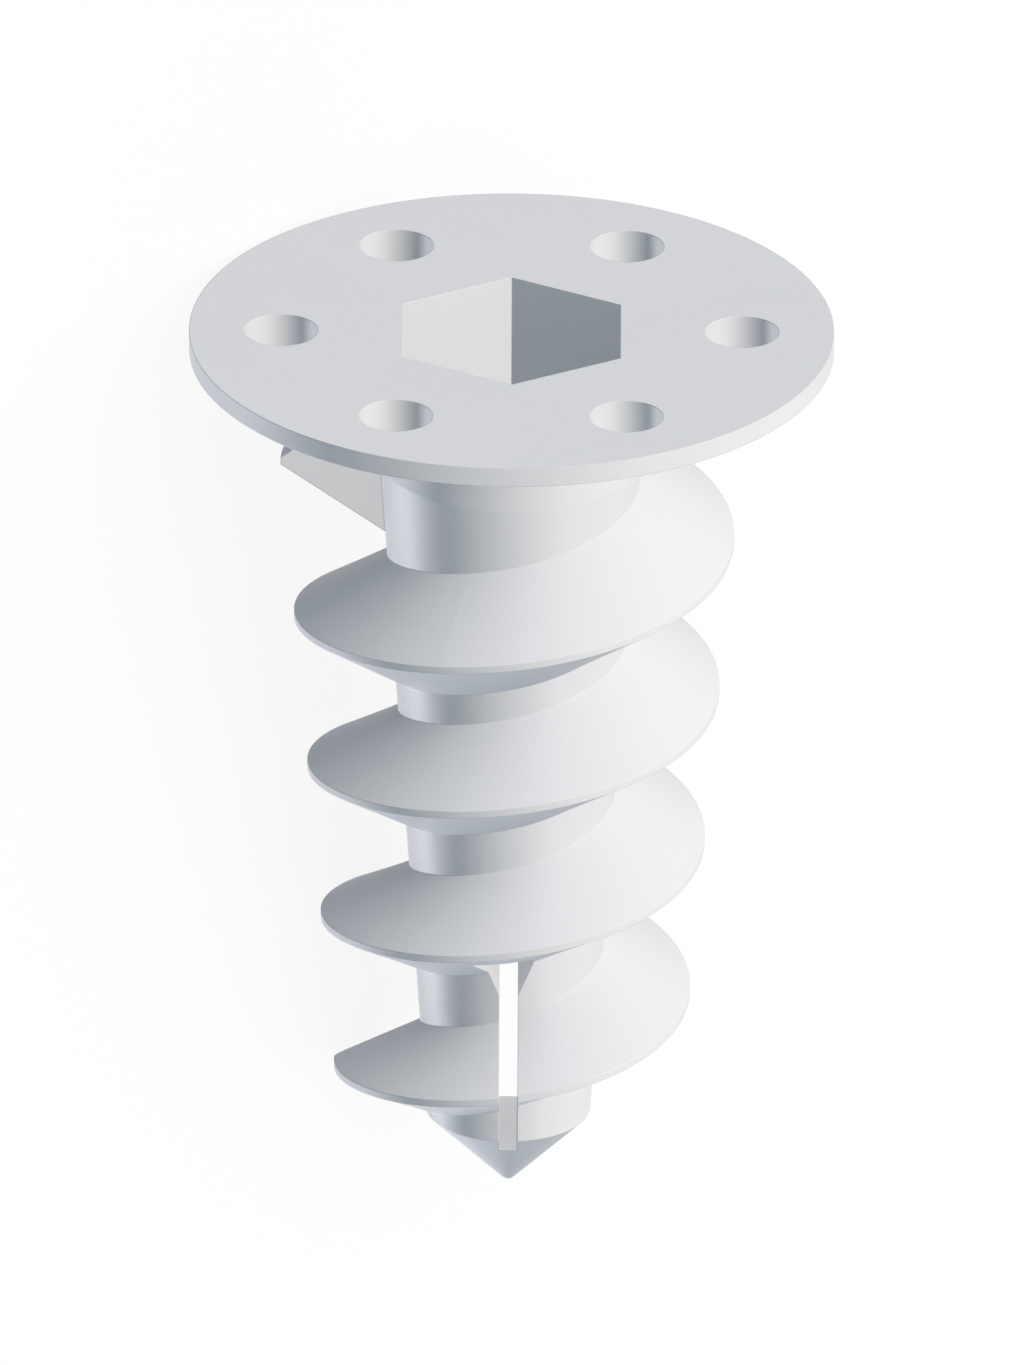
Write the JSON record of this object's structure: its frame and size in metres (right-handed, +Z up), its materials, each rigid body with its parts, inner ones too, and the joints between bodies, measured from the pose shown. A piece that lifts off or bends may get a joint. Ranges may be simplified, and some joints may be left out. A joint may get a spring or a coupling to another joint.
{
  "type": "insulation anchor",
  "caption": "One-piece moulded screw-in anchor for insulation board: perforated round flange, hexagonal drive socket, tapering helical flight and split point.",
  "frame": {"origin": "centre of the flange's outer face, where the axis of the anchor meets it", "axes": "+Z up; the anchor lies as it comes to rest on the rear edge of its flange and on its flight, with the outer face of the flange towards -Y and the tip towards +Y"},
  "size_m": [0.035, 0.0533, 0.0344],
  "materials": {
    "white_nylon": "natural white moulded polyamide, satin, with faintly bluish shadows"
  },
  "bodies": {
    "root": {"anchor_body": "white_nylon"}
  },
  "joints": []
}
